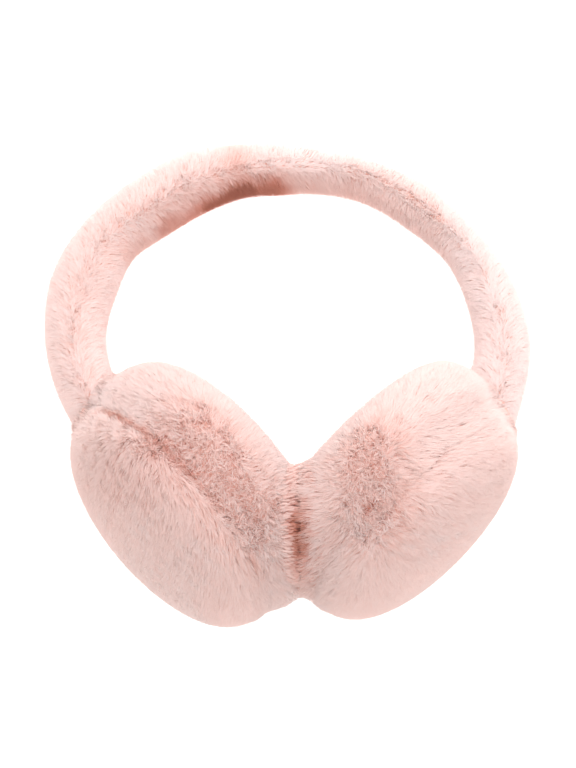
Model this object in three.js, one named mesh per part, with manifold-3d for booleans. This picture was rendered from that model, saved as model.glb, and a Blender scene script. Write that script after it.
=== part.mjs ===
// Plush earmuffs, lying on their side on a table: a fur-covered spring band bent into an
// arch, and a thick round ear cup on each end of it. Unworn, the band closes by itself, so the
// cups lean together below the arch and press flat on each other. Each cup is two sewn
// fur panels: a domed outer panel and a deeper ear panel with a faint dimple for the ear.
// Every solid is the outer form of its pile, flattened where it rests on the table.
//
// The pieces are laid out in the arch's own frame: x across the head, y up the arch and
// z square to the arch. The arch then leans, because the cups stand taller than the band.
// Millimetres and degrees. The table is z = 0 in the part's frame, +Z up.
import * as THREE from 'three';
import { mergeVertices } from 'three/addons/utils/BufferGeometryUtils.js';
import Module from 'manifold-3d';

const wasm = await Module();
wasm.setup();
const { degToRad } = THREE.MathUtils;

// ---- Driving dimensions ----

const LEAN = 18; // the arch's plane drops this much from the cups to the band's crown
const CUP_LINE_HEIGHT = 51.5; // of the arch frame's origin above the table
const GAP = 0.3; // between pieces that touch
const CONTACT_X = 4.5; // the cups press flat on each other at this x

const CUP = {
  seamRadius: 49, // where the two panels are sewn together
  outerRadius: 49.2, // the outer panel's widest ring
  outerTuck: 2.5, // height over which the outer panel turns in to the seam
  outerRoundness: 2.2, // superellipse exponent of the dome
  padRadius: 54.8, // the ear panel's widest ring
  padShoulder: 14, // depth from the seam to that ring
  padRise: 0.6, // how steeply the side leaves the seam, where 1 goes straight for the ring
  padRoundness: 2.8,
  crestRadius: 35, // the soft ring that presses round the ear
  dimpleDepth: 3, // of the faint dimple inside that ring
  segments: 44,
};

// One row for each cup: the centre of its seam, the way its outer panel faces in the arch's
// plane, how far it is turned out of that plane, and how far its two panels reach.
const CUPS = [
  { side: 'left', x: -43.9, y: -8.4, facing: 224.3, turn: 10, outerDepth: 21.3, padDepth: 35 },
  { side: 'right', x: 46.7, y: -6.4, facing: -46, turn: 2, outerDepth: 24.5, padDepth: 33.6 },
];

// One row for each section of the band, from the left cup over the crown to the right cup.
// thick is in the arch's plane and depth is square to it. The fur lies fuller on the left,
// and the sleeve is pinched over the spring's fold just left of the crown.
const BAND_SECTIONS = [
  { x: -60, y: 2, thick: 22, depth: 24 },
  { x: -70.5, y: 28, thick: 22, depth: 25 },
  { x: -79.2, y: 46.5, thick: 23, depth: 26 },
  { x: -82.7, y: 66, thick: 24.3, depth: 26 },
  { x: -79.5, y: 86, thick: 26.6, depth: 27 },
  { x: -70, y: 104.5, thick: 23.9, depth: 27 },
  { x: -54.7, y: 117.6, thick: 25.2, depth: 27 },
  { x: -36.1, y: 128.8, thick: 24.8, depth: 26 },
  { x: -18.9, y: 133.4, thick: 21.4, depth: 22.5 },
  { x: -3, y: 134.3, thick: 20, depth: 24 },
  { x: 13, y: 133.2, thick: 16.8, depth: 24 },
  { x: 32.1, y: 128.7, thick: 16.2, depth: 23 },
  { x: 52, y: 117.3, thick: 18.3, depth: 22 },
  { x: 68.6, y: 101.1, thick: 17.2, depth: 22 },
  { x: 78.9, y: 82, thick: 20, depth: 23 },
  { x: 83.3, y: 60, thick: 22, depth: 23 },
  { x: 80, y: 41, thick: 22, depth: 23 },
  { x: 72, y: 20, thick: 21, depth: 22 },
  { x: 58, y: 2, thick: 20, depth: 21 },
];
const BAND_ROUNDNESS = 2.2; // superellipse exponent of a section
const BAND_SIDES = 24;
const BAND_STEPS = 66;

// ---- Solids ----

function toSolid(geometry) {
  const bare = geometry.clone();
  bare.deleteAttribute('normal');
  bare.deleteAttribute('uv');
  const merged = mergeVertices(bare, 1e-4);
  return new wasm.Manifold(new wasm.Mesh({
    numProp: 3,
    vertProperties: merged.attributes.position.array,
    triVerts: new Uint32Array(merged.index.array),
  }));
}

function toGeometry(solid) {
  const { vertProperties, triVerts } = solid.getMesh();
  const geometry = new THREE.BufferGeometry();
  geometry.setAttribute('position', new THREE.BufferAttribute(vertProperties, 3));
  geometry.setIndex(new THREE.BufferAttribute(triVerts, 1));
  geometry.computeVertexNormals();
  return geometry;
}

// A large block whose nearest face lies on the plane through `point`, filling the side that
// `direction` points to.
function halfSpace(point, direction) {
  const size = 600;
  const block = new THREE.BoxGeometry(size, size, size).translate(0, 0, size / 2);
  const turn = new THREE.Quaternion().setFromUnitVectors(new THREE.Vector3(0, 0, 1), direction);
  return toSolid(block.applyQuaternion(turn).translate(point.x, point.y, point.z));
}

// A point of a superellipse's first quarter, from (0, 1) at share 0 to (1, 0) at share 1.
function superQuarter(share, exponent) {
  const angle = share * Math.PI / 2;
  const power = 2 / exponent;
  return new THREE.Vector2(Math.sin(angle) ** power, Math.cos(angle) ** power);
}

// ---- Ear cups ----
// A cup is turned about its own y axis: y = 0 is the plane of the seam and +y faces outwards.

// The dome of the outer panel and the tuck that brings it in to the seam.
function outerPanelProfile(depth, grow) {
  const { seamRadius, outerRadius, outerTuck, outerRoundness } = CUP;
  const domeSteps = 9;
  const points = [];
  for (let i = 0; i <= domeSteps; i++) {
    const q = superQuarter(i / domeSteps, outerRoundness);
    points.push(new THREE.Vector2(
      q.x * (outerRadius + grow),
      outerTuck + q.y * (depth - outerTuck + grow),
    ));
  }
  points[0].x = 0;
  points.push(new THREE.Vector2(seamRadius + grow, GAP / 2 - grow));
  points.push(new THREE.Vector2(0, GAP / 2 - grow));
  return points.reverse();
}

// The ear panel's side, its rounded shoulder, the crest round the ear and the dimple in it.
function earPanelProfile(depth, grow) {
  const { seamRadius, padRadius, padShoulder, padRise, padRoundness, crestRadius, dimpleDepth } = CUP;
  const sideSteps = 5;
  const shoulderSteps = 8;
  const dimpleSteps = 5;
  const points = [new THREE.Vector2(0, -GAP / 2 + grow)];
  for (let i = 0; i <= sideSteps; i++) {
    const share = i / sideSteps;
    const rise = padRise * share * (1 - share) ** 2 + share ** 2 * (3 - 2 * share);
    points.push(new THREE.Vector2(
      seamRadius + rise * (padRadius - seamRadius) + grow,
      -GAP / 2 + grow - share * (padShoulder - GAP / 2 + grow),
    ));
  }
  for (let i = 1; i <= shoulderSteps; i++) {
    const q = superQuarter(1 - i / shoulderSteps, padRoundness);
    points.push(new THREE.Vector2(
      crestRadius + q.x * (padRadius - crestRadius + grow),
      -padShoulder - q.y * (depth - padShoulder + grow),
    ));
  }
  for (let i = 1; i <= dimpleSteps; i++) {
    const share = 1 - i / dimpleSteps;
    points.push(new THREE.Vector2(
      crestRadius * share,
      -depth - grow + dimpleDepth * (1 + Math.cos(Math.PI * share)) / 2,
    ));
  }
  return points.reverse();
}

function cupPanel(profile, { x, y, facing, turn }) {
  const panel = new THREE.LatheGeometry(profile, CUP.segments);
  const a = degToRad(facing);
  const t = degToRad(turn);
  const outwards = new THREE.Vector3(Math.cos(a) * Math.cos(t), Math.sin(a) * Math.cos(t), Math.sin(t));
  const swing = new THREE.Quaternion().setFromUnitVectors(new THREE.Vector3(0, 1, 0), outwards);
  return toSolid(panel.applyQuaternion(swing).translate(x, y, 0));
}

// ---- Band ----

// Section sizes between the rows follow one smooth curve, as the centre line does.
function bandSolid() {
  const centreLine = new THREE.CatmullRomCurve3(
    BAND_SECTIONS.map(({ x, y }) => new THREE.Vector3(x, y, 0)),
  );
  const sizes = new THREE.SplineCurve(
    BAND_SECTIONS.map(({ thick, depth }) => new THREE.Vector2(thick, depth)),
  );
  const square = new THREE.Vector3(0, 0, 1);
  const positions = [];
  const indices = [];
  for (let step = 0; step <= BAND_STEPS; step++) {
    const at = step / BAND_STEPS;
    const centre = centreLine.getPoint(at);
    const outwards = new THREE.Vector3().crossVectors(square, centreLine.getTangent(at)).normalize();
    const { x: thick, y: depth } = sizes.getPoint(at);
    for (let side = 0; side < BAND_SIDES; side++) {
      const angle = side / BAND_SIDES * 2 * Math.PI;
      const power = 2 / BAND_ROUNDNESS;
      const across = Math.sign(Math.cos(angle)) * Math.abs(Math.cos(angle)) ** power * thick / 2;
      const up = Math.sign(Math.sin(angle)) * Math.abs(Math.sin(angle)) ** power * depth / 2;
      const p = centre.clone().addScaledVector(outwards, across).addScaledVector(square, up);
      positions.push(p.x, p.y, p.z);
    }
  }
  for (let step = 0; step < BAND_STEPS; step++) {
    for (let side = 0; side < BAND_SIDES; side++) {
      const a = step * BAND_SIDES + side;
      const b = step * BAND_SIDES + (side + 1) % BAND_SIDES;
      indices.push(a, b, b + BAND_SIDES, a, b + BAND_SIDES, a + BAND_SIDES);
    }
  }
  const last = BAND_STEPS * BAND_SIDES;
  for (let side = 1; side < BAND_SIDES - 1; side++) {
    indices.push(0, side + 1, side);
    indices.push(last, last + side, last + side + 1);
  }
  const band = new THREE.BufferGeometry();
  band.setAttribute('position', new THREE.Float32BufferAttribute(positions, 3));
  band.setIndex(indices);
  return toSolid(band);
}

// ---- Assembly ----

const X = new THREE.Vector3(1, 0, 0);
const pieces = [];
let band = bandSolid();
for (const cup of CUPS) {
  const inwards = cup.side === 'left' ? X : X.clone().negate();
  const contact = halfSpace(new THREE.Vector3(CONTACT_X, 0, 0).addScaledVector(inwards, -GAP / 2), inwards);
  const panels = {
    outer: cupPanel(outerPanelProfile(cup.outerDepth, 0), cup),
    ear: cupPanel(earPanelProfile(cup.padDepth, 0), cup),
  };
  for (const [kind, solid] of Object.entries(panels)) {
    pieces.push({ name: `${kind}_panel_${cup.side}`, solid: solid.subtract(contact) });
  }
  // The band's end is set into the cup, a gap clear of both panels.
  band = band
    .subtract(cupPanel(outerPanelProfile(cup.outerDepth, GAP), cup))
    .subtract(cupPanel(earPanelProfile(cup.padDepth, GAP), cup));
}
pieces.push({ name: 'headband', solid: band });

const lying = new THREE.Matrix4()
  .makeRotationX(-degToRad(LEAN))
  .setPosition(0, 0, CUP_LINE_HEIGHT);
const belowTable = halfSpace(new THREE.Vector3(0, 0, 0), new THREE.Vector3(0, 0, -1));
const bounds = new THREE.Box3();
const geometries = pieces.map(({ solid }) => {
  const leaned = toGeometry(solid).applyMatrix4(lying);
  const rested = toGeometry(toSolid(leaned).subtract(belowTable));
  rested.computeBoundingBox();
  bounds.union(rested.boundingBox);
  return rested;
});

// ---- Scene graph ----
// The part's origin is on the table, under the middle of its bounding box.

const PLUSH = { color: 0xf0c9c0, roughness: 0.95, metalness: 0 };
const earmuffs = new THREE.Group();
const middle = bounds.getCenter(new THREE.Vector3());
pieces.forEach(({ name }, i) => {
  const geometry = geometries[i].translate(-middle.x, -middle.y, 0);
  const mesh = new THREE.Mesh(geometry, new THREE.MeshStandardMaterial(PLUSH));
  mesh.name = name;
  earmuffs.add(mesh);
});

export default earmuffs;
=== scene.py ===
"""Plush earmuffs lying closed on a pale table: the looks, in metres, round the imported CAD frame.

Each CAD solid is the outer form of its pile. Here it becomes a padded skin that sits inside the
pile, and a coat of combed and clumped strands that grow from the skin up to the solid's surface.
"""
import math

import bpy
import numpy as np
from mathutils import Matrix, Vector
from mathutils.bvhtree import BVHTree
from mathutils.kdtree import KDTree


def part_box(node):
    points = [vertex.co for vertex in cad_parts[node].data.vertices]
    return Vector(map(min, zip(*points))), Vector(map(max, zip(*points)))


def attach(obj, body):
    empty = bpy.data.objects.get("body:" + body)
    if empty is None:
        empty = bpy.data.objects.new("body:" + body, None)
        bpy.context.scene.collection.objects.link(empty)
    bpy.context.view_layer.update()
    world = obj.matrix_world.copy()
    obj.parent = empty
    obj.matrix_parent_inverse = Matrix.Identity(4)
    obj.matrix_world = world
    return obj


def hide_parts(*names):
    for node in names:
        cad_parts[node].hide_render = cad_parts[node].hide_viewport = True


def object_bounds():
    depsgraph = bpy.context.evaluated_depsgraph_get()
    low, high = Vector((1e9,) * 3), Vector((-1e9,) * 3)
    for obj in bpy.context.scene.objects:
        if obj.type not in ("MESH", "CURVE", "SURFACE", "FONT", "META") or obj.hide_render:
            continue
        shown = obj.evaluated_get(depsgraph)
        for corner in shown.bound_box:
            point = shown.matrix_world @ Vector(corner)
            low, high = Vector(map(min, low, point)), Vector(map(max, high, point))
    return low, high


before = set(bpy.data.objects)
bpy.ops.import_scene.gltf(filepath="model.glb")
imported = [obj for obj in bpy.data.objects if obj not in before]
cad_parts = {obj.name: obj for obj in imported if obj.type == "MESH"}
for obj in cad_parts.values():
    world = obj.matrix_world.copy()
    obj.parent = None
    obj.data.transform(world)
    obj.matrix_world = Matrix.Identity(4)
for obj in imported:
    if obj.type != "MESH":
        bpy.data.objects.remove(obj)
cad_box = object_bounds()

MM = 0.001
MERGE = 1e-6  # corners nearer than this are one
SIDES = ("left", "right")
ALONG_X = np.array([1.0, 0.0, 0.0])
UP = np.array([0.0, 0.0, 1.0])
DOWN = np.array([0.0, 0.0, -1.0])

# ---- Sizes of the pile ----

CUP_PILE = 4.2 * MM  # from the strands' roots to their tips
BAND_PILE = 3.3 * MM
ROOT_COVER = 1.1 * MM  # how far the roots sit inside the skin
SKIN_VOXEL = 2.4 * MM
SEAT = 0.7 * MM  # how near a cut face a point of the skin counts as on it
CUT_SEAT = 0.3 * MM  # and how near it the middle of a face of the solid does
CUT_FACING = 0.99  # such a face is also turned this squarely to the cut
UNEVEN = 0.35 * MM  # how far the stuffing swells and sinks under the skin
UNEVEN_SIZE = 7 * MM
FLOOR_CLEARANCE = 0.3 * MM
CONTACT_WEAVE = 1.3 * MM  # how far the pile of one cup mingles with the other's


# ---- The CAD nodes as arrays ----


def node_arrays(name):
    """A CAD node's corners and triangles, with the corners at one place merged."""
    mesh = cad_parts[name].data
    mesh.calc_loop_triangles()
    points = np.empty(len(mesh.vertices) * 3)
    mesh.vertices.foreach_get("co", points)
    points = points.reshape(-1, 3)
    faces = np.empty(len(mesh.loop_triangles) * 3, np.int32)
    mesh.loop_triangles.foreach_get("vertices", faces)
    faces = faces.reshape(-1, 3)
    places = np.round(points / MERGE).astype(np.int64)
    _, first, back = np.unique(places, axis=0, return_index=True, return_inverse=True)
    return points[first], back.reshape(-1)[faces]


def face_shapes(points, faces):
    """Each triangle's unit normal and area."""
    a, b, c = (points[faces[:, i]] for i in range(3))
    cross = np.cross(b - a, c - a)
    doubled = np.linalg.norm(cross, axis=1)
    return cross / np.maximum(doubled, 1e-15)[:, None], doubled / 2


def unit(vectors):
    return vectors / np.maximum(np.linalg.norm(vectors, axis=-1, keepdims=True), 1e-12)


def along(vectors, direction):
    return (vectors * direction).sum(axis=-1, keepdims=True)


def flattened(vectors, normals):
    """The part of each vector that lies across its normal."""
    return vectors - along(vectors, normals) * normals


def cup_axis(side):
    """The middle of a cup's seam and the way its outer panel faces, from its flat back."""
    points, faces = node_arrays(f"outer_panel_{side}")
    normals, areas = face_shapes(points, faces)
    alike = normals @ normals.T > 0.9999
    back = alike[np.argmax(alike @ areas)]
    middles = points[faces[back]].mean(axis=1)
    centre = (middles * areas[back, None]).sum(axis=0) / areas[back].sum()
    return centre, unit(-(normals[back] * areas[back, None]).sum(axis=0))


CUP_AXES = {side: cup_axis(side) for side in SIDES}
CONTACT_X = (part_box("ear_panel_left")[1].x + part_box("ear_panel_right")[0].x) / 2
FLOOR_Z = cad_box[0][2]
CUP_NODES = [f"{kind}_panel_{side}" for side in SIDES for kind in ("outer", "ear")]


def tree_of(names, chosen=None):
    """One search tree over several CAD nodes, or over the faces that `chosen` keeps of each."""
    points, faces, start = [], [], 0
    for name in names:
        p, f = node_arrays(name)
        points.append(p)
        faces.append((f if chosen is None else f[chosen(name, p, f)]) + start)
        start += len(p)
    return BVHTree.FromPolygons(np.vstack(points).tolist(), np.vstack(faces).tolist())


CUPS_TREE = tree_of(CUP_NODES)
BAND_TREE = tree_of(["headband"])


def under(tree, points, depth):
    """The place `depth` below a surface, nearest to each point."""
    found = [tree.find_nearest(Vector(p)) for p in points]
    places = np.array([f[0] for f in found])
    return places - np.array([f[1] for f in found]) * depth


def gap_to(tree, points):
    """Each point's distance to a surface, and the surface's normal there."""
    found = [tree.find_nearest(Vector(p)) for p in points]
    return np.array([f[3] for f in found]), np.array([f[1] for f in found])


# ---- Smooth fields ----


def bump_at(distance, reach):
    return np.exp(-((distance / reach) ** 2))


def eased(values, start, end):
    """0 up to the start, 1 from the end, and smooth between."""
    part = ((values - start) / (end - start)).clip(0, 1)
    return part * part * (3 - 2 * part)


def waves(points, seed, size, count=14):
    """A smooth random vector at each point, about unit length, that varies over about `size`."""
    rng = np.random.default_rng(seed)
    directions = unit(rng.normal(size=(count, 3))) * (2 * math.pi / size)
    directions *= rng.uniform(0.6, 1.5, size=(count, 1))
    phases = rng.uniform(0, 2 * math.pi, size=(count, 1))
    amounts = rng.normal(size=(count, 3)) * math.sqrt(2 / count / 3)
    return np.sin(points @ directions.T + phases.T) @ amounts


# ---- Meshes ----


def new_object(name, mesh):
    obj = bpy.data.objects.new(name, mesh)
    bpy.context.scene.collection.objects.link(obj)
    return obj


def mesh_points(mesh):
    points = np.empty(len(mesh.vertices) * 3)
    mesh.vertices.foreach_get("co", points)
    normals = np.empty(len(mesh.vertices) * 3)
    mesh.vertex_normals.foreach_get("vector", normals)
    return points.reshape(-1, 3), normals.reshape(-1, 3)


# ---- Materials ----


def new_material(name):
    material = bpy.data.materials.new(name)
    material.use_nodes = True
    material.node_tree.nodes.clear()
    return material, material.node_tree.nodes, material.node_tree.links


def ramp_node(nodes, stops):
    ramp = nodes.new("ShaderNodeValToRGB")
    ramp.color_ramp.interpolation = "LINEAR"
    elements = ramp.color_ramp.elements
    while len(elements) < len(stops):
        elements.new(0.5)
    for element, (place, colour) in zip(elements, stops):
        element.position = place
        element.color = (*colour, 1)
    return ramp


# Deep red root to pale tip: partly the pile's own colour, partly painted shade of its warm depths.
ROOT_COLOUR = (0.80, 0.34, 0.23)
LOW_COLOUR = (0.93, 0.57, 0.47)
MIDDLE_COLOUR = (0.98, 0.865, 0.83)
TIP_COLOUR = (0.995, 0.935, 0.92)
PALEST_SHADED = 0.7  # the darkest lock in full light stands here on the tint's scale


def strand_material():
    """Colour follows the strand's own map: across it the lock's tint, and up it root to tip."""
    material, nodes, links = new_material("plush_pile")
    uv = nodes.new("ShaderNodeUVMap")
    uv.uv_map = "OFBake"
    split = nodes.new("ShaderNodeSeparateXYZ")
    links.new(uv.outputs["UV"], split.inputs[0])
    height = ramp_node(nodes, [
        (0.0, ROOT_COLOUR),
        (0.4, LOW_COLOUR),
        (0.7, MIDDLE_COLOUR),
        (1.0, TIP_COLOUR),
    ])
    links.new(split.outputs["Y"], height.inputs["Fac"])
    # The tint's dark red end is painted shade, used for the crease, valley, seam, notch and sunk
    # strands.
    tint = ramp_node(nodes, [
        (0.0, (0.36, 0.10, 0.05)),
        (0.35, (0.78, 0.45, 0.36)),
        (PALEST_SHADED, (0.94, 0.82, 0.78)),
        (1.0, (1.0, 1.0, 1.0)),
    ])
    links.new(split.outputs["X"], tint.inputs["Fac"])
    mix = nodes.new("ShaderNodeMix")
    mix.data_type = "RGBA"
    mix.blend_type = "MULTIPLY"
    mix.inputs["Factor"].default_value = 1.0
    links.new(height.outputs["Color"], mix.inputs["A"])
    links.new(tint.outputs["Color"], mix.inputs["B"])
    fibre = nodes.new("ShaderNodeBsdfPrincipled")
    fibre.inputs["Roughness"].default_value = 0.62
    fibre.inputs["Specular IOR Level"].default_value = 0.2
    fibre.inputs["Specular Tint"].default_value = (1.0, 0.78, 0.72, 1)
    fibre.inputs["Sheen Weight"].default_value = 0.2
    fibre.inputs["Sheen Tint"].default_value = (1.0, 0.80, 0.74, 1)
    fibre.inputs["Sheen Roughness"].default_value = 0.4
    links.new(mix.outputs["Result"], fibre.inputs["Base Color"])
    warmed = nodes.new("ShaderNodeMix")
    warmed.data_type = "RGBA"
    warmed.blend_type = "MULTIPLY"
    warmed.inputs["Factor"].default_value = 1.0
    warmed.inputs["B"].default_value = (1.0, 0.93, 0.91, 1)
    links.new(mix.outputs["Result"], warmed.inputs["A"])
    through = nodes.new("ShaderNodeBsdfTranslucent")
    links.new(warmed.outputs["Result"], through.inputs["Color"])
    both = nodes.new("ShaderNodeMixShader")
    both.inputs["Fac"].default_value = 0.5
    links.new(fibre.outputs[0], both.inputs[1])
    links.new(through.outputs[0], both.inputs[2])
    output = nodes.new("ShaderNodeOutputMaterial")
    links.new(both.outputs[0], output.inputs["Surface"])
    return material


def skin_material():
    """The dense base of the pile: deep pink, mottled where the strands part."""
    material, nodes, links = new_material("plush_base")
    place = nodes.new("ShaderNodeTexCoord")
    mottle = nodes.new("ShaderNodeTexNoise")
    mottle.inputs["Scale"].default_value = 900
    mottle.inputs["Detail"].default_value = 4
    links.new(place.outputs["Object"], mottle.inputs["Vector"])
    # Its deep pink is partly the base's own colour and partly painted shade of the gaps in the
    # pile.
    colour = ramp_node(nodes, [(0.3, (0.82, 0.46, 0.37)), (0.7, (0.90, 0.60, 0.51))])
    links.new(mottle.outputs["Fac"], colour.inputs["Fac"])
    bump = nodes.new("ShaderNodeBump")
    bump.inputs["Strength"].default_value = 0.8
    bump.inputs["Distance"].default_value = 0.6 * MM
    links.new(mottle.outputs["Fac"], bump.inputs["Height"])
    base = nodes.new("ShaderNodeBsdfPrincipled")
    base.inputs["Roughness"].default_value = 0.9
    base.inputs["Sheen Weight"].default_value = 0.3
    links.new(colour.outputs["Color"], base.inputs["Base Color"])
    links.new(bump.outputs["Normal"], base.inputs["Normal"])
    output = nodes.new("ShaderNodeOutputMaterial")
    links.new(base.outputs[0], output.inputs["Surface"])
    return material


PILE = strand_material()
BASE = skin_material()


# ---- The padded skins ----


def remeshed(name):
    """The node's solid as an even, slightly softened mesh."""
    points, faces = node_arrays(name)
    mesh = bpy.data.meshes.new(name + "_form")
    mesh.from_pydata(points.tolist(), [], faces.tolist())
    form = new_object(name + "_form", mesh)
    remesh = form.modifiers.new("even", "REMESH")
    remesh.mode = "VOXEL"
    remesh.voxel_size = SKIN_VOXEL
    soften = form.modifiers.new("soften", "SMOOTH")
    soften.iterations = 2
    bpy.context.view_layer.update()
    evaluated = form.evaluated_get(bpy.context.evaluated_depsgraph_get())
    even = bpy.data.meshes.new_from_object(evaluated)
    bpy.data.objects.remove(form)
    bpy.data.meshes.remove(mesh)
    return even


def skin(name, pile, side=None):
    """The sewn and stuffed form under the pile, drawn in from the solid's surface.

    It stays against the seam and the other cup, and the band's ends run on into the pile of
    the cups, so no gap opens between two skins.
    """
    mesh = remeshed(name)
    depth = pile - ROOT_COVER
    points, normals = mesh_points(mesh)
    drawn = points - normals * depth
    if side:
        centre, axis = CUP_AXES[side]
        height = along(points - centre, axis)
        on_seam = np.abs(height[:, 0]) < SEAT
        spoke = flattened(points - centre, axis)
        radius = np.linalg.norm(spoke[on_seam], axis=1).max()
        drawn[on_seam] = (points - spoke * depth / radius)[on_seam]
        on_contact = np.abs(points[:, 0] - CONTACT_X) < SEAT
        drawn[on_contact, 0] = points[on_contact, 0]
    else:
        gap, cup_normal = gap_to(CUPS_TREE, points)
        on_cup = gap < SEAT
        sunk = drawn - along(drawn - points, cup_normal) * cup_normal
        drawn[on_cup] = (sunk - cup_normal * (depth - SEAT))[on_cup]
    drawn += waves(points, 5, UNEVEN_SIZE) * UNEVEN
    mesh.vertices.foreach_set("co", drawn.ravel())
    mesh.update()
    mesh.polygons.foreach_set("use_smooth", np.ones(len(mesh.polygons), bool))
    mesh.materials.clear()
    mesh.materials.append(BASE)
    piece = new_object(name + "_skin", mesh)
    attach(piece, "root")
    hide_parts(name)
    return piece


# ---- Where the pile grows ----

DENSITY = 8.25  # strands per square millimetre where the pile stands up
LAID_SHARE = 0.72  # of that density where the pile is combed flat and covers more
LAID_COMB = (0.3, 0.9)  # pile lies flatter from the first comb, and flat from the second
UNDERSIDE = (-0.55, -0.05)  # the normal's z, from the second down to the first, where pile thins
UNDERSIDE_DENSITY = 3.9
UNDERSIDE_WIDER = 0.4  # and its strands grow wider by this share


def pile_faces(name, points, faces):
    """Which of a node's faces carry pile: not the seam, the contact, or the band's sunk ends."""
    middles = points[faces].mean(axis=1)
    if "panel" not in name:
        return gap_to(CUPS_TREE, middles)[0] > SEAT
    normals, _ = face_shapes(points, faces)
    centre, axis = CUP_AXES[name.split("_")[-1]]
    height = along(middles - centre, axis)[:, 0]
    on_seam = (np.abs(height) < CUT_SEAT) & (np.abs(normals @ axis) > CUT_FACING)
    off = middles[:, 0] - CONTACT_X
    on_contact = (np.abs(off) < CUT_SEAT) & (np.abs(normals[:, 0]) > CUT_FACING)
    return ~(on_seam | on_contact)


# Each cup's whole surface, without its seam.
COATS = {
    side: tree_of([f"outer_panel_{side}", f"ear_panel_{side}"], pile_faces) for side in SIDES
}


def scatter(name, rng):
    """Random points over a node's pile, with smooth normals: fewer on the underside."""
    points, faces = node_arrays(name)
    kept = pile_faces(name, points, faces)
    normals, areas = face_shapes(points, faces)
    smooth = np.zeros_like(points)
    for i in range(3):
        np.add.at(smooth, faces[kept, i], (normals * areas[:, None])[kept])
    smooth = unit(smooth)
    faces, areas = faces[kept], areas[kept]
    full = eased(normals[kept, 2], *UNDERSIDE)
    wanted = areas / MM**2 * (UNDERSIDE_DENSITY + (DENSITY - UNDERSIDE_DENSITY) * full)
    chosen = rng.choice(len(faces), size=int(wanted.sum()), p=wanted / wanted.sum())
    count = len(chosen)
    u, v = rng.random((2, count, 1))
    fold = u + v > 1
    u, v = np.where(fold, 1 - u, u), np.where(fold, 1 - v, v)
    a, b, c = (faces[chosen, i] for i in range(3))
    spots = points[a] + (points[b] - points[a]) * u + (points[c] - points[a]) * v
    return spots, unit(smooth[a] * (1 - u - v) + smooth[b] * u + smooth[c] * v)


# ---- Strands ----

MID_HEIGHT = 0.5  # where a strand is widest and bends
MAP_COLUMNS = 64  # each strand's tint is one column of its map
STRAND_WIDTH = 0.30 * MM
WIDTH_SPREAD = (0.7, 1.3)
BEND = {"outer": 4.2 * MM, "ear": 3.0 * MM, "band": 2.8 * MM}  # sideways reach where the comb is 1
ROOT_BEND = 1.4  # how many times as far back as its middle a strand's root lies
MOST_COMB = 1.3
UPRIGHT_COMB = (0.2, 0.8)  # pile stands up below the first comb, and not from the second
STRAY = 0.14  # how far single strands stray from the comb
EVEN_STRAY = 0.08  # and how much less where the coat lies even
SLIDE = 1.6 * MM  # how far the strands of one lock spread along the comb
EVEN_CALMS = 0.8  # how much less the tips and locks of an even coat vary
OVER = 0.35  # how far the tips stand over the surface on the whole, in mm
MOST_OVER = 0.9  # and at most, up or down
MID_LIFT = 0.6  # how much of the tip's lift and weave its middle takes
RAISED = {"cup": 0.8, "valley": 0.6, "band": 0.5}  # how far shading turns up; a cup's by the band

# Each pair is for pile that lies, and what it gains where it stands up.
HEIGHT_SPREAD = (0.15, 0.36)  # of the tips, in mm
GRIP = (0.3, 0.25)  # how far a lock draws its tips together
MID_GRIP = (0.2, 0.5)  # and how much of that its strands' middles follow
CURL = (0.25, 1.3)  # how far the tips curl over, in mm

GRIP_SPREAD = (0.4, 1.3)
MID_CURL = 0.3  # how far the middles of upright pile curl the other way
PER_LOCK = 5
LOCK_STRAY = 0.3  # how differently the strands of one lock curl
LOCK_SHARE = 0.6  # how much of a strand's tint its whole lock has in common
PALE_POWER = 0.6  # under 1, so that most locks are pale
EVEN_TINT = 0.7  # where the tints of an even coat draw together
EVEN_DRAW = 0.7  # and how far they do
LOCK_CONTRAST = 0.2  # how much darker the darkest lock is where the coat isn't even
SUNK_PAINTED_SHADE = 0.5  # painted shade: how much darker and redder a strand is that ends below its neighbours
MINGLE = 4 * MM  # how far from the contact the pile of the two cups mingles
WEAVE_SIZE = 5 * MM
MEET_SPREAD = 0.6  # how unevenly the tips stop where the cups meet, in mm
MINGLED_FROM = 0.01  # the bump beside the contact from which strands stop there
TWIST = 0.25  # how far a strand turns about its own length
ROUNDING = 0.45  # how far a strand's shading normals turn to its sides
SURFACE_SHARE = 0.62  # how far a strand is lit as part of the coat, and not as a lone fibre


def locks(spots, rng, per_clump):
    """Gather the strands into small locks: the leaders, and each strand's own leader."""
    leaders = rng.choice(len(spots), size=max(1, len(spots) // per_clump), replace=False)
    tree = KDTree(len(leaders))
    for i, at in enumerate(spots[leaders]):
        tree.insert(at, i)
    tree.balance()
    return leaders, np.array([tree.find(at)[1] for at in spots])


def lock_ways(leaders, lock, rng):
    """A random way for each strand to curl: nearly the same within a lock."""
    ways = unit(rng.normal(size=(len(leaders), 3)))[lock]
    return ways + rng.normal(size=(len(lock), 3)) * LOCK_STRAY


def lock_tint(leaders, lock, even, rng):
    """Where each strand stands on the tint's scale in full light: alike within a lock."""
    shared = rng.random(len(leaders))[lock] * LOCK_SHARE
    tint = (shared + rng.random(len(lock)) * (1 - LOCK_SHARE)) ** PALE_POWER
    tint += (EVEN_TINT - tint) * EVEN_DRAW * even
    darkest = PALEST_SHADED - LOCK_CONTRAST * (1 - even)
    return darkest + (1 - darkest) * tint


def by_stance(amounts, upright):
    """An amount that differs between pile that lies and pile that stands up."""
    lying, gain = amounts
    return lying + gain * upright


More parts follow.
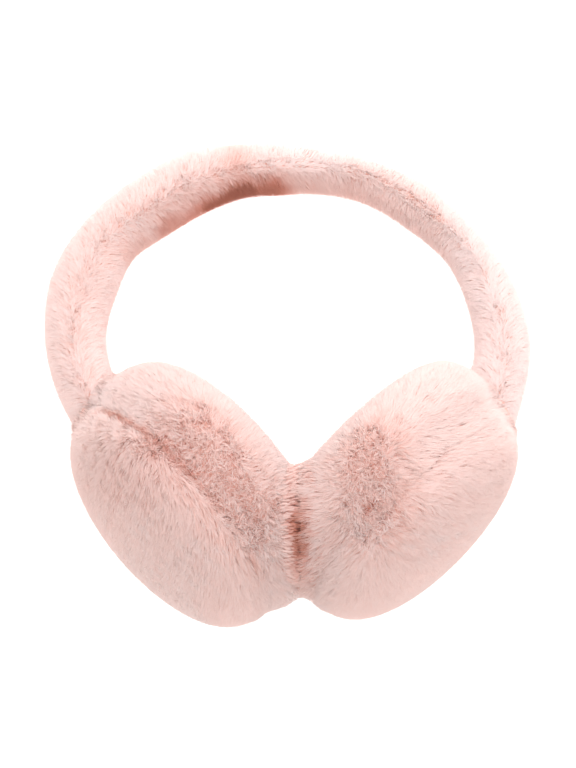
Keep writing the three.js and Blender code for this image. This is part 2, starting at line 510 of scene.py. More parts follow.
def mingle(name, spots, rows, lift, rng):
    """Weave the pile beside the contact into the other cup's, and stop it where they meet.

    Each row is the strands' middles or tips, with its share of the weave.
    """
    weave = waves(spots, 17, WEAVE_SIZE)[:, 0] * CONTACT_WEAVE
    toward = bump_at(spots[:, 0] - CONTACT_X, MINGLE)
    stop = np.minimum if "left" in name else np.maximum
    for row, share in rows:
        row[:, 0] += weave * toward * share
        meet = CONTACT_X + weave * share + rng.normal(0, MEET_SPREAD, size=len(spots)) * MM
        meet += lift[:, 0] * share
        row[:, 0] = np.where(toward > MINGLED_FROM, stop(row[:, 0], meet), row[:, 0])


def grow(name, surface, coat, rng, pile, bend):
    """Strands whose tips reach a coat's spots, moved by its lift and combed along its comb.

    How even the coat lies goes from 0, where it stands in locks, to 1.
    """
    spots, normals, lift, even = (coat[key] for key in ("spots", "normals", "lift", "even"))
    count = len(spots)
    stray = rng.normal(size=(count, 3)) * (STRAY - EVEN_STRAY * even)
    comb = flattened(coat["comb"] + stray, normals)
    comb /= np.sqrt(1 + along(comb, comb) / MOST_COMB**2)
    upright = 1 - eased(np.linalg.norm(comb, axis=1, keepdims=True), *UPRIGHT_COMB)
    calm = 1 - EVEN_CALMS * even
    tall = rng.normal(size=(count, 1)) * by_stance(HEIGHT_SPREAD, upright) * calm
    deep = (-tall / MOST_OVER).clip(0, 1)
    tall = (OVER + tall).clip(-MOST_OVER, MOST_OVER) * MM
    places = under(surface, spots + comb * SLIDE * rng.uniform(-1, 1, size=(count, 1)), 0)
    tip = places + normals * tall + lift
    mid = under(surface, places - comb * bend, pile * (1 - MID_HEIGHT)) + lift * MID_LIFT
    root = under(surface, places - comb * bend * ROOT_BEND, pile)

    leaders, lock = locks(spots, rng, PER_LOCK)
    pull = flattened(spots[leaders][lock] - spots, normals)
    grip = by_stance(GRIP, upright) * calm * rng.uniform(*GRIP_SPREAD, size=(count, 1))
    tip += pull * grip
    mid += pull * grip * by_stance(MID_GRIP, upright)
    curl = flattened(lock_ways(leaders, lock, rng), normals) * by_stance(CURL, upright) * MM
    tip += curl
    mid -= curl * MID_CURL * upright
    # A strand that ends low gets painted shade.
    tint = lock_tint(leaders, lock, even[:, 0], rng) * (1 - SUNK_PAINTED_SHADE * deep[:, 0])

    for row in (mid, tip):
        row[:, 2] = np.maximum(row[:, 2], FLOOR_Z + FLOOR_CLEARANCE)
    if "panel" in name:
        mingle(name, spots, ((mid, MID_LIFT), (tip, 1)), lift, rng)
    # The coat's painted light and shade go into each strand's tint.
    tint = coat["shade"][:, 0] * tint
    return strands(name, (root, mid, tip), normals, rng, tint, coat["bloom"], coat["raised"])


def grow_halves(name, surface, coat, halves, rng, pile, bend):
    """Grow a coat as two pieces of pile, each over the spots of its own half."""
    for half, chosen in halves.items():
        part = {key: values[chosen] for key, values in coat.items()}
        grow(f"{name}_pile_{half}", surface, part, rng, pile, bend)


def strands(name, rows, normals, rng, tint, bloom, raised):
    """One mesh of strands, each two triangles: a root point, a wide middle, and a tip point.

    `tint` is how pale each strand is, `bloom` is how far up its colours its middle sits, and
    `raised` is how much of the light from above it takes up whichever way the surface faces.
    """
    root, mid, tip = rows
    count = len(root)
    heading = unit(tip - root)
    across = unit(np.cross(heading, normals + rng.normal(size=(count, 3)) * TWIST))
    face = np.cross(across, heading)
    across *= np.where(along(face, normals) < 0, -1, 1)
    face *= np.where(along(face, normals) < 0, -1, 1)
    wide = STRAND_WIDTH * (1 + UNDERSIDE_WIDER * (1 - eased(normals[:, 2:], *UNDERSIDE)))
    half = across * wide / 2 * rng.uniform(*WIDTH_SPREAD, size=(count, 1))
    corners = np.stack([root, mid - half, mid + half, tip], axis=1)
    lit = unit(face * (1 - SURFACE_SHARE) + normals * SURFACE_SHARE + raised * UP)
    turn = across * ROUNDING
    corner_normals = np.stack([lit, unit(lit - turn), unit(lit + turn), lit], axis=1)

    mesh = bpy.data.meshes.new(name)
    mesh.vertices.add(count * 4)
    mesh.vertices.foreach_set("co", corners.ravel())
    pattern = np.array([0, 2, 1, 1, 2, 3])
    loops = (np.arange(count)[:, None] * 4 + pattern).ravel()
    mesh.loops.add(count * 6)
    mesh.loops.foreach_set("vertex_index", loops.astype(np.int32))
    mesh.polygons.add(count * 2)
    mesh.polygons.foreach_set("loop_start", np.arange(count * 2, dtype=np.int32) * 3)
    mesh.update(calc_edges=True)
    mesh.polygons.foreach_set("use_smooth", np.ones(count * 2, bool))
    strand_map(mesh, tint, bloom)
    mesh.normals_split_custom_set_from_vertices(corner_normals.reshape(-1, 3))
    mesh.materials.append(PILE)
    piece = new_object(name, mesh)
    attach(piece, "root")
    return piece


def strand_map(mesh, tint, bloom):
    """Lay each strand in the column of its tint, root at the bottom and tip at the top."""
    count = len(tint)
    column = (tint * MAP_COLUMNS).astype(int).clip(0, MAP_COLUMNS - 1)
    u = (column[:, None] + np.array([0.45, 0.9, 0.1, 0.1, 0.9, 0.45])) / MAP_COLUMNS
    middle = np.broadcast_to(np.asarray(bloom, float), count)
    low, high = np.full(count, 0.01), np.full(count, 0.99)
    v = np.stack([low, middle, middle, middle, middle, high], axis=1)
    bake = mesh.uv_layers.new(name="OFBake")
    bake.data.foreach_set("uv", np.stack([u, v], axis=2).ravel().astype(np.float32))


# ---- How the pile lies ----

SWELLS = (30 * MM, 0.15)  # how long they are, and how strong
TUFTS = (8 * MM, 0.3)
OVERHANG = (165, 120)  # pile falls less from the second tilt, in degrees, and not at the first
STROKE_REACH = {"cup": 11 * MM, "band": 8 * MM}
UNBRUSHED = 0.35  # the weight of unbrushed pile among the strokes
LINE_REACH = 5 * MM  # how far from a drawn line its mark reaches
CORNER_REACH = 3 * MM
CORNER_FLUFF = 1.7 * MM
CORNER_LEAN = 0.5


def pile_flow(spots, seed):
    """How handled pile lies every way by a little: long swells and short tufts."""
    (swell, slow), (tuft, quick) = SWELLS, TUFTS
    return waves(spots, seed, swell) * slow + waves(spots, seed + 1, tuft) * quick


def tilt_of(normals):
    """How many degrees each surface leans away from facing up."""
    return np.degrees(np.arccos(normals[:, 2:].clip(-1, 1)))


def falling(normals, start, end):
    """Pile that falls down the slope, from where the surface leans by the start, in degrees."""
    slope = unit(flattened(DOWN, normals))
    tilt = tilt_of(normals)
    return slope * eased(tilt, start, end) * eased(tilt, *OVERHANG)


def brushed(spots, strokes, reach):
    """A comb field made of strokes, each at x and y in mm, pulling along dx and dy.

    It comes with how far the strokes hold the pile, from 0 to 1.
    """
    total = np.full((len(spots), 1), UNBRUSHED)
    field = np.zeros((len(spots), 3))
    for x, y, dx, dy in strokes:
        off = spots[:, :2] - np.array([x, y]) * MM
        weight = np.exp(-(off**2).sum(axis=1, keepdims=True) / (2 * reach**2))
        field[:, :2] += weight * np.array([dx, dy])
        total += weight
    return field / total, 1 - UNBRUSHED / total


def off_line(spots, start, end):
    """Each spot's offset from a line, seen from above; its ends are at x and y in mm."""
    start, end = np.array(start) * MM, np.array(end) * MM
    run = end - start
    part = ((spots[:, :2] - start) @ run / (run @ run)).clip(0, 1)[:, None]
    return np.hstack([spots[:, :2] - start - part * run, np.zeros((len(spots), 1))])


def from_line(spots, start, end):
    return np.linalg.norm(off_line(spots, start, end), axis=1, keepdims=True)


def marked(spots, lines):
    """How strongly each spot is marked by the nearest of some lines, seen from above."""
    marks = [bump_at(from_line(spots, a, b), LINE_REACH) * part for a, b, part in lines]
    return np.max(marks, axis=0)


def thinned(comb, normals, rng):
    """Which strands to keep, so that laid pile is no denser than it needs to be."""
    laid = eased(np.linalg.norm(flattened(comb, normals), axis=1), *LAID_COMB)
    return rng.random(len(comb)) < 1 - (1 - LAID_SHARE) * laid


def corner_lift(tree, spots, normals):
    """Pile beside another piece fills the corner the two make, so no line shows there.

    It comes with each spot's gap to that piece.
    """
    gap, across = gap_to(tree, spots)
    gap = gap[:, None]
    return bump_at(gap, CORNER_REACH) * (normals - across * CORNER_LEAN) * CORNER_FLUFF, gap


# ---- The cups ----

# From the ruffled line of each cup the pile lies outward every way; the strokes are where a
# hand has brushed it another way.
RUFFLED = {"left": ((-34, -20), (-9, -56)), "right": ((30, -28), (31, -49))}
STROKES = {
    "left": (
        (-62, -4, -0.8, 0.3), (-50, -11, -0.9, 0.2), (-60, -22, 0.8, -0.7), (-52, -29, 0.9, -0.7),
        (-42, -38, 0.7, -0.9), (-30, -52, 0.4, -1.0), (-20, -66, 0.3, -0.9), (-64, -45, 0.1, -0.7),
        (-48, -58, 0.1, -0.8), (-36, -76, 0.1, -0.7),
    ),
    "right": (
        (56, -30, 0.9, 0.2), (48, -50, 0.8, -0.5), (60, -44, 0.6, -0.5), (10, -62, -0.7, -0.3),
    ),
}
COMBED_FROM = (6 * MM, 19 * MM)  # the ruffled line, where the pile starts to lie and where it does
STROKES_FROM = (4 * MM, 12 * MM)  # and where the strokes do
EVEN_FROM = (12 * MM, 24 * MM)  # and where the coat gets even
CUP_FALLS = (24, 60)  # tilts, in degrees, where the pile starts to fall and where it does
RUFFLED_FALLS = (50, 75)  # and where it does so in the ruffled patch too
CUP_EVENS = (38, 58)  # tilts where the coat gets even
OUTWARD = 0.8  # how strongly the pile lies away from the ruffled line
DOWNHILL = 0.77
STROKES_HOLD = 0.8  # how much less of both is left where a hand has brushed
CONTACT_REACH = 8 * MM
CONTACT_LEAN = 0.8  # how strongly the pile lies over the contact from both sides
CONTACT_HOLD = 0.85  # and how much less it lies any other way there
CONTACT_FACING = (-0.2, 0.3)  # the normal's z, where that starts and where it is full
EDGE_DROOP = (-2.4 * MM, 0.0, -0.4 * MM)  # of the right cup, which stands higher at the contact
EDGE_DROOP_REACH = 2.5 * MM

SEAM_SHOWS = {  # lines at x and y in mm, and how far the pile parts there
    "left": (((-68, -10), (-36, -36), 1.0), ((-36, -36), (-15, -69), 0.85)),
    "right": (((33, -49), (46, -39), 0.2),),
}
SEAM_FLUFF = 1.9 * MM
SEAM_FLUFF_REACH = 4 * MM
SEAM_FLUFF_PARTED = 0.45  # how much less of it is left where the seam shows
SEAM_LEAN = 1.5 * MM  # how far the pile beside a closed seam reaches over it
SEAM_LEAN_REACH = 2.2 * MM
SEAM_LEAN_PARTED = 0.9
SEAM_ROUND = 0.65  # how far the coat over a closed seam turns outward
SEAM_ROUND_REACH = 3 * MM
# Painted shade of the crease where the seam shows:
SEAM_DARK = 0.7
SEAM_DARK_REACH = 1.0 * MM
SEAM_DARK_BELOW = 0.7 * MM  # the shade sits this far towards the ear from the seam

BAND_NEAR = 14 * MM  # how far from the band the cups' pile is more even, and paler with painted light
BY_BAND_PAINTED_LIGHT = 0.12
BY_BAND_PAINTED_LIGHT_FACING = (0.1, 0.5)
NOTCH_PAINTED_SHADE = 0.12  # and the painted shade where the cups face aside or down in the notch
NOTCH_PAINTED_SHADE_REACH = 9 * MM
NOTCH_PAINTED_SHADE_FACING = (-0.1, 0.2)
BAND_EVEN = 0.8
# Painted shade of the valley, on the cups' own pile.
VALLEY_DARK = 0.75
# The ear panels' higher bloom is painted light: one pile, drawn paler where it faces the light.
CUP_BLOOM = {"outer": (0.60, 0.12), "ear": (0.86, -0.08)}  # and what laid pile adds to it
CUP_EVEN = {"outer": 0.9, "ear": 1}  # the most that a panel's coat gets even
CURLED_END = (42 * MM, 56 * MM)  # how far in front the cups' curled ends, paler with painted light, start and are full
CURLED_PAINTED_LIGHT = 0.1
# The bloom that painted light draws the pile's colour towards:
PAINTED_LIGHT_BLOOM = 0.95
CURLED_BLOOM = 0.8  # how far the bloom goes to the pale one at the curled ends
BAND_BLOOM = 0.5  # and beside the band: painted light in both places


def cup_comb(side, spots, normals):
    away = off_line(spots, *RUFFLED[side])
    reach = np.linalg.norm(away, axis=1, keepdims=True)
    loose = eased(reach, *COMBED_FROM)
    falls = np.maximum(loose, eased(tilt_of(normals), *RUFFLED_FALLS))
    fall = falling(normals, *CUP_FALLS) * falls
    strokes, held = brushed(spots, STROKES[side], STROKE_REACH["cup"])
    free = (unit(away) * loose * OUTWARD + fall * DOWNHILL) * (1 - STROKES_HOLD * held)
    comb = free + strokes * eased(reach, *STROKES_FROM)
    off = CONTACT_X - spots[:, :1]
    near = bump_at(off, CONTACT_REACH) * eased(normals[:, 2:], *CONTACT_FACING)
    over = np.sign(off) * near * CONTACT_LEAN * ALONG_X
    return pile_flow(spots, 21) + comb * (1 - CONTACT_HOLD * near) + over


def seam(side, spots, normals):
    """The coat at the seam, which only shows where the pile parts: its normals, lift and painted
    shade.
    """
    centre, axis = CUP_AXES[side]
    height = along(spots - centre, axis)
    shows = marked(spots, SEAM_SHOWS[side])
    turned = bump_at(height, SEAM_ROUND_REACH) * (1 - shows) * SEAM_ROUND
    outward = unit(flattened(spots - centre, axis))
    normals = unit(normals * (1 - turned) + outward * turned)
    fluff = bump_at(height, SEAM_FLUFF_REACH) * (1 - SEAM_FLUFF_PARTED * shows)
    over = np.sign(height) * bump_at(height, SEAM_LEAN_REACH) * (1 - SEAM_LEAN_PARTED * shows)
    lift = normals * fluff * SEAM_FLUFF - axis * (over * SEAM_LEAN)
    # Painted shade on the ear's side of the crease where the seam shows.
    shade = 1 - SEAM_DARK * bump_at(height + SEAM_DARK_BELOW, SEAM_DARK_REACH) * shows
    return normals, lift, shade


def cup_coat(side, kind, spots, normals, comb):
    """Softer, and paler with painted light, by the band and at the curled end; painted shade in
    the valley and the notch.
    """
    normals, lift, shade = seam(side, spots, normals)
    corner, gap = corner_lift(BAND_TREE, spots, normals)
    lift += corner
    if side == "right":
        lift += bump_at(spots[:, :1] - CONTACT_X, EDGE_DROOP_REACH) * EDGE_DROOP
    facing = normals[:, 2:]
    by_band = bump_at(gap, BAND_NEAR)
    notch = bump_at(gap, NOTCH_PAINTED_SHADE_REACH) * (1 - eased(facing, *NOTCH_PAINTED_SHADE_FACING))
    laid = eased(np.linalg.norm(flattened(comb, normals), axis=1), *LAID_COMB)
    curled = eased(-spots[:, 1], *CURLED_END) * (1 - laid)
    # Painted shade in the valley between the cups.
    shade *= 1 - VALLEY_DARK * valley_shade(spots)
    # Painted shade in the notch by the band.
    shade *= 1 - NOTCH_PAINTED_SHADE * notch
    # Painted light on pile that faces up beside the band.
    shade *= 1 + BY_BAND_PAINTED_LIGHT * by_band * eased(facing, *BY_BAND_PAINTED_LIGHT_FACING)
    # Painted light at the curled ends.
    shade *= 1 + CURLED_PAINTED_LIGHT * curled[:, None]
    # Painted light: the ear panels' bloom is higher than the outer panels'.
    bloom, more = CUP_BLOOM[kind]
    bloom = bloom + more * laid
    # Painted light in the bloom at the curled ends and beside the band.
    bloom += (PAINTED_LIGHT_BLOOM - bloom) * np.maximum(CURLED_BLOOM * curled, BAND_BLOOM * by_band[:, 0])
    even = eased(from_line(spots, *RUFFLED[side]), *EVEN_FROM)
    even = np.maximum(even, eased(tilt_of(normals), *CUP_EVENS)) * CUP_EVEN[kind]
    return {
        "spots": spots,
        "normals": normals,
        "comb": comb,
        "lift": lift,
        "even": np.maximum(even, BAND_EVEN * by_band),
        "shade": shade,
        "bloom": bloom,
        "raised": RAISED["cup"] * by_band,
    }


def cup_pile(side, rng):
    """Both panels of a cup carry one coat, grown in a back and a front half."""
    for kind in ("outer", "ear"):
        name = f"{kind}_panel_{side}"
        skin(name, CUP_PILE, side)
        spots, normals = scatter(name, rng)
        comb = cup_comb(side, spots, normals)
        kept = thinned(comb, normals, rng)
        coat = cup_coat(side, kind, spots[kept], normals[kept], comb[kept])
        y = coat["spots"][:, 1]
        halves = {"back": y >= np.median(y), "front": y < np.median(y)}
        grow_halves(name, COATS[side], coat, halves, rng, CUP_PILE, BEND[kind])


# ---- The valley between the cups ----

VALLEY_MIDDLE = (-60 * MM, 55 * MM)  # y and z inside the flat where the cups press together
VALLEY_ARC = (-10, 216, 3.0)  # where it starts and ends round its middle, and the step, in degrees
VALLEY_ENDS = (0.25, 0.35)  # the angle it is full from, and how long it thins at its far end
VALLEY_RADIUS = 38  # about, in mm
VALLEY_WIDTH = 12  # where it is widest, in mm
VALLEY_DENSITY = 13.0  # strands tried per square millimetre
VALLEY_SIDES_THIN = 0.95
VALLEY_LEAN = 3.0  # how far to each side its pile leans in, in mm
VALLEY_TOP_LEAN = 3.0  # and how much farther on top
VALLEY_TOP = (0.55, 0.95)  # sines of the angle where its top starts and where it is full
VALLEY_DIP = 1.6 * MM
VALLEY_DIP_REACH = 2.2 * MM
VALLEY_FAR = 120 * MM  # from its middle to outside the cups on every side
VALLEY_GAP = 0.4 * MM  # how near the contact its depth is taken beside the gap and not in it
VALLEY_DEEPEST = 14 * MM  # a deeper place is open air, and no valley
VALLEY_SHALLOWEST = (0.2, 1.6)  # the least depth that a strand fills, drawn from these, in mm
VALLEY_CROSS = 1.0  # how far over the middle the strands of the two cups mix, in mm
VALLEY_ROOTS = (2.0, 4.5)  # how far aside of its tip a strand starts, in mm
VALLEY_ROOT_DEPTH = 2.6 * MM
VALLEY_TIPS = (0.2, 1.4)  # over the crest and, for a low strand, under it, in mm
VALLEY_LOW = (0, 0.05, 0.8)  # the least, the usual and the most that a strand is low
VALLEY_BED = 1.7  # how much lower the strands of the bed under the gap are
VALLEY_BED_SHARE = 0.4
VALLEY_BED_REACH = 3 * MM
# Where the valley's painted shade lies, across and along it, and how it wanders:
VALLEY_SHADE_REACH = (2.2 * MM, 13 * MM)  # across the valley and along it
VALLEY_SHADE_Y = -57 * MM
VALLEY_SHADE_WANDER = 0.8 * MM
VALLEY_SHADE_WANDER_SIZE = 6 * MM
# Painted shade on the valley's strands, more on the low ones.
VALLEY_STRAND_DARK = 0.9
VALLEY_LOW_DARK = 0.3
VALLEY_BLOOM = (0.84, 0.2)  # and how much less in the shade
VALLEY_EVEN = 0.4
VALLEY_GRIP = 0.5
VALLEY_CURL = 0.5 * MM
VALLEY_MID_GRIP = 0.3  # how far the middles follow their tips' pull
VALLEY_MID_CURL = 0.2  # and how far they curl the other way
VALLEY_ARCH = 0.7 * MM  # how far a strand's middle stands over the line from root to tip


def valley_shade(spots):
    """How deep in the painted shade of the valley between the cups a strand stands."""
    across, lengthwise = VALLEY_SHADE_REACH
    off = spots[:, :1] - CONTACT_X
    wander = waves(spots, 61, VALLEY_SHADE_WANDER_SIZE)[:, :1] * VALLEY_SHADE_WANDER
    return bump_at(off + wander, across) * bump_at(spots[:, 1:2] - VALLEY_SHADE_Y, lengthwise)


def valley_radius(x, angle):
    """How far the cups reach from the valley's middle, at each x and angle up from +y."""
    y, z = VALLEY_MIDDLE
    radius = np.zeros(len(x))
    for i, (at, turn) in enumerate(zip(x, angle)):
        out = Vector((0, math.cos(turn), math.sin(turn)))
        start = Vector((at, y, z)) + out * VALLEY_FAR
        hit = CUPS_TREE.ray_cast(start, -out, VALLEY_FAR)
        radius[i] = VALLEY_FAR - hit[3] if hit[0] else 0
    return radius


def valley_reach(angle):
    """How far to each side the pile leans into the valley: farthest on top."""
    return (VALLEY_LEAN + VALLEY_TOP_LEAN * eased(np.sin(angle), *VALLEY_TOP)) * MM


def valley_spread(steps, rng):
    """Where the valley's strands end: the angle, the reach there and the offset across it."""
    count = int(np.ptp(steps) * VALLEY_RADIUS * VALLEY_WIDTH * VALLEY_DENSITY)
    angle = rng.uniform(steps[0], steps[-1], size=count)
    span = valley_reach(angle)
    share = rng.uniform(-1, 1, size=count)
    full, thins = VALLEY_ENDS
    ends = eased(angle, steps[0], full) * eased(angle, steps[-1], steps[-1] - thins)
    widest = VALLEY_WIDTH / 2 * MM
    kept = rng.random(count) < span / widest * (1 - VALLEY_SIDES_THIN * share**2) * ends
    return angle[kept], span[kept], (share * span)[kept]


def valley(rng):
    """Pile of both cups that leans into the valley between them and meets in a soft fold."""
    steps = np.radians(np.arange(*VALLEY_ARC))
    ends = [valley_radius(CONTACT_X + way * valley_reach(steps), steps) for way in (-1, 1)]
    angle, span, off = valley_spread(steps, rng)
    count = len(off)
    left, right = (np.interp(angle, steps, end) for end in ends)
    out = np.stack([np.zeros(count), np.cos(angle), np.sin(angle)], axis=1)

    def crest(off):
        part = ((off / span + 1) / 2).clip(0, 1)
        return left * (1 - part) + right * part - VALLEY_DIP * bump_at(off, VALLEY_DIP_REACH)

    def place(off, radius):
        middle = np.array([CONTACT_X, *VALLEY_MIDDLE])
        return middle + out * radius[:, None] + ALONG_X * off[:, None]

    beside = np.where(off < 0, -VALLEY_GAP, VALLEY_GAP)
    beside = np.where(np.abs(off) < VALLEY_GAP, beside, off)
    depth = crest(off) - valley_radius(CONTACT_X + beside, angle)
    side = np.sign(off + rng.normal(0, VALLEY_CROSS, size=count) * MM)
    from_off = off + side * rng.uniform(*VALLEY_ROOTS, size=count) * MM
    low = rng.triangular(*VALLEY_LOW, size=count)
    bed = rng.choice([0.0, VALLEY_BED], p=[1 - VALLEY_BED_SHARE, VALLEY_BED_SHARE], size=count)
    low += bump_at(off, VALLEY_BED_REACH) * bed
    dip = 2 * VALLEY_DIP * off / VALLEY_DIP_REACH**2 * bump_at(off, VALLEY_DIP_REACH)
    slope = (right - left) / (2 * span) + dip
    normals = unit(out - ALONG_X * slope[:, None])
    over, sink = VALLEY_TIPS
    tip = place(off, crest(off) + (over - sink * low) * MM)
    root = place(from_off, crest(from_off) - VALLEY_ROOT_DEPTH)

    leaders, lock = locks(tip, rng, PER_LOCK)
    pull = flattened(tip[leaders][lock] - tip, normals) * VALLEY_GRIP
    curl = flattened(lock_ways(leaders, lock, rng), normals) * VALLEY_CURL
    tip += pull + curl
    mid = (root + tip) / 2 + normals * VALLEY_ARCH + pull * VALLEY_MID_GRIP
    mid -= curl * VALLEY_MID_CURL
    tint = lock_tint(leaders, lock, np.full(count, VALLEY_EVEN), rng)
    # Painted shade in the valley: darker, more so for low strands, with less bloom.
    dim = valley_shade(tip)[:, 0]
    tint = (1 - VALLEY_STRAND_DARK * dim) * (1 - VALLEY_LOW_DARK * low.clip(0, 1)) * tint
    bloom = VALLEY_BLOOM[0] - VALLEY_BLOOM[1] * dim
    shallowest = rng.uniform(*VALLEY_SHALLOWEST, size=count) * MM
    inside = (depth > shallowest) & (depth < VALLEY_DEEPEST)
    for half, chosen in (("left", inside & (side < 0)), ("right", inside & (side > 0))):
        rows = (root[chosen], mid[chosen], tip[chosen])
        name = f"ear_panel_{half}_pile_valley"
        raised = RAISED["valley"]
        strands(name, rows, normals[chosen], rng, tint[chosen], bloom[chosen], raised)


# ---- The headband ----

BAND_STROKES = (
    (-12, 79, 0.5, 0.0), (2, 79, 0.7, 0.0), (16, 76, 0.7, -0.2), (30, 70, 0.6, -0.3),
    (44, 60, 0.5, -0.5), (56, 47, 0.4, -0.6),
)
FOLD = (  # where the sleeve is creased: lines at x and y in mm, and how dark each one's painted shade is
    ((-60, 48), (-46, 59), 0.25),
    ((-48, 58), (-30, 68), 0.5),
    ((-50, 66), (-20, 79), 0.16),
    ((-30, 67), (-15, 73), 0.8),
    ((-15, 73), (-4, 75), 0.45),
    ((-17, 76), (-21, 90), 0.26),
)
FOLD_WANDER = 0.8 * MM
FOLD_WANDER_SIZE = 9 * MM
FOLD_DARKEST = 0.9
FOLD_FACING = (-0.45, 0.05)  # the fold is half as dark where the sleeve faces down
CROWN = ((-20 * MM, 10 * MM), (45 * MM, 65 * MM))  # x where it starts, and x where it ends
PEACH = ((12 * MM, 30 * MM), (55 * MM, 68 * MM))  # and those of its deeper, peach stretch
RIGHT = CROWN[0]  # from here on the pile is a little more even, and paler with painted light
BAND_FALLS = (2, 36)  # tilts, in degrees, where the pile starts to fall and where it does
CROWN_FALLS = (10, 8)  # and how much later on the crown
CROWN_STROKES = 0.4  # how much stronger the strokes are on the crown
# Painted shade on the crown's inner side, which faces away from the light:
INWARD_MIDDLE = -4 * MM
INWARD_REACH = 30 * MM
INWARD_FROM = (50 * MM, 66 * MM)  # y where the crown's inner side starts to darken and is dark
INWARD_PAINTED_SHADE = 0.42
INSIDE_FACING = (0.1, 0.7)  # how squarely the pile faces the middle, where the inside starts
BAND_EVENS = (25, 50)  # tilts, in degrees, where the coat starts to get even and where it is
BAND_EVEN_LEAST = 0.25
STEEP_EVEN = 0.35
RIGHT_EVEN = 0.2
CROWN_EVEN = 0.25
# Painted light: the band is drawn paler, and more so to the right, in tint and bloom.
BAND_PAINTED_LIGHT = 1.1
RIGHT_PAINTED_LIGHT = 0.07
PEACH_DARK = 0.13
BAND_MID_BLOOM = 0.84
RIGHT_BLOOM = 0.1
PEACH_BLOOM = 0.13  # how much less bloom the inner side of the peach stretch has: painted shade


def between(values, rise, fall):
    """1 between a rise and a fall, each eased from its first value to its second."""
    return eased(values, *rise) * (1 - eased(values, *fall))


def band_comb(spots, normals):
    """Pile that falls to both sides of the crest, and is brushed along it on the crown."""
    crown = between(spots[:, :1], *CROWN)
    start, end = (tilt + later * crown for tilt, later in zip(BAND_FALLS, CROWN_FALLS))
    strokes, _ = brushed(spots, BAND_STROKES, STROKE_REACH["band"])
    lie = pile_flow(spots, 41) + falling(normals, start, end)
    return lie + strokes * (1 + CROWN_STROKES * crown)


def band_painted_shade(spots, normals):
    """How much painted shade the crease and the inner side of the crown get."""
    wander = waves(spots, 43, FOLD_WANDER_SIZE) * FOLD_WANDER
    fold = marked(spots + wander, FOLD)
    inward = (-normals[:, 1:2]).clip(0, 1) * bump_at(spots[:, :1] - INWARD_MIDDLE, INWARD_REACH)
    inward *= eased(spots[:, 1:2], *INWARD_FROM)
    seen = (1 + eased(normals[:, 2:], *FOLD_FACING)) / 2
    return (fold + INWARD_PAINTED_SHADE * inward).clip(0, FOLD_DARKEST) * seen


def band_coat(spots, normals, comb):
    """Paler with painted light and more even to the right, with a peach stretch, and painted shade
    at the crease.
    """
    lift, _ = corner_lift(CUPS_TREE, spots, normals)
    x = spots[:, :1]
    crown, peach, right = between(x, *CROWN), between(x, *PEACH), eased(x, *RIGHT)
    inside = eased(-along(normals, unit(spots * [1, 1, 0])), *INSIDE_FACING)
    steep = eased(tilt_of(normals), *BAND_EVENS)
    even = BAND_EVEN_LEAST + STEEP_EVEN * steep + RIGHT_EVEN * right + CROWN_EVEN * crown
    # Painted light over the band and to the right; painted shade at the crease and inner side.
    shade = BAND_PAINTED_LIGHT + RIGHT_PAINTED_LIGHT * right - PEACH_DARK * peach - band_painted_shade(spots, normals)
    # Painted shade in the bloom of the peach stretch's inner side.
    bloom = BAND_MID_BLOOM + RIGHT_BLOOM * right * (1 - peach) - PEACH_BLOOM * peach * inside
    return {
        "spots": spots,
        "normals": normals,
        "comb": comb,
        "lift": lift,
        "even": even.clip(0, 1),
        "shade": shade,
        "bloom": bloom[:, 0],
        "raised": np.full((len(spots), 1), RAISED["band"]),
    }


def headband(rng):
    skin("headband", BAND_PILE)
    spots, normals = scatter("headband", rng)
    comb = band_comb(spots, normals)
    kept = thinned(comb, normals, rng)
    coat = band_coat(spots[kept], normals[kept], comb[kept])
    x = coat["spots"][:, 0]
    halves = {"left": x < 0, "right": x >= 0}
    grow_halves("headband", BAND_TREE, coat, halves, rng, BAND_PILE, BEND["band"])


# ---- Stage ----

TABLE_HALF = 2.5  # metres
LIGHT_COLOUR = (0.95, 0.97, 1.0)
LIGHTS_AIM = (0, 0, 0.04)
LIGHTS = {  # where each stands and how wide it is, in metres, and its power
    "key": ((0.15, 0.9, 0.8), 1.0, 10.5),
    "front": ((0.1, 0.0, 1.5), 0.8, 10),
}
CAMERA_HEIGHT = 861 * MM
CAMERA_OFFSET = (0.3 * MM, -1.6 * MM)


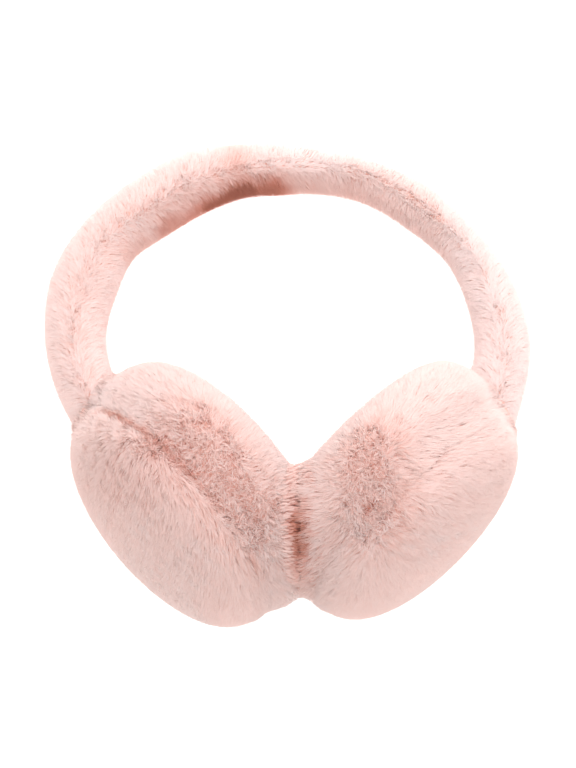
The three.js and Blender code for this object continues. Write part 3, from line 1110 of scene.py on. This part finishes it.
def floor():
    """A pale table, slightly luminous, so that it comes out an even white round the earmuffs."""
    mesh = bpy.data.meshes.new("table")
    ways = ((-1, -1), (1, -1), (1, 1), (-1, 1))
    corners = [(x * TABLE_HALF, y * TABLE_HALF, FLOOR_Z) for x, y in ways]
    mesh.from_pydata(corners, [], [(0, 1, 2, 3)])
    material, nodes, links = new_material("pale_table")
    surface = nodes.new("ShaderNodeBsdfPrincipled")
    surface.inputs["Base Color"].default_value = (0.93, 0.93, 0.93, 1)
    surface.inputs["Roughness"].default_value = 0.9
    surface.inputs["Emission Color"].default_value = (1, 0.99, 0.985, 1)
    surface.inputs["Emission Strength"].default_value = 0.7
    output = nodes.new("ShaderNodeOutputMaterial")
    links.new(surface.outputs[0], output.inputs["Surface"])
    mesh.materials.append(material)
    table = new_object("table", mesh)


def area_light(name, place, size, power):
    light = bpy.data.lights.new(name, "AREA")
    light.shape = "DISK"
    light.size = size
    light.energy = power
    light.color = LIGHT_COLOUR
    lamp = new_object(name, light)
    lamp.location = place
    toward = Vector(LIGHTS_AIM) - Vector(place)
    lamp.rotation_euler = toward.to_track_quat("-Z", "Y").to_euler()


def lights():
    world = bpy.data.worlds.new("studio")
    world.use_nodes = True
    sky = world.node_tree.nodes["Background"]
    sky.inputs["Color"].default_value = (0.97, 0.91, 0.885, 1)
    sky.inputs["Strength"].default_value = 0.87
    bpy.context.scene.world = world
    for name, (place, size, power) in LIGHTS.items():
        area_light(name, place, size, power)


def camera():
    """Straight above the middle of the earmuffs."""
    data = bpy.data.cameras.new("camera")
    data.lens = 100
    data.sensor_width = 36
    data.clip_start = 0.05
    lens = new_object("camera", data)
    middle = [(cad_box[0][i] + cad_box[1][i]) / 2 for i in range(2)]
    x, y = (at + off for at, off in zip(middle, CAMERA_OFFSET))
    lens.location = (x, y, FLOOR_Z + CAMERA_HEIGHT)
    bpy.context.scene.camera = lens


# ---- Build ----

for index, side in enumerate(SIDES):
    cup_pile(side, np.random.default_rng(100 + index))
headband(np.random.default_rng(300))
valley(np.random.default_rng(400))
floor()
lights()
camera()
bpy.context.scene.view_settings.view_transform = "Standard"
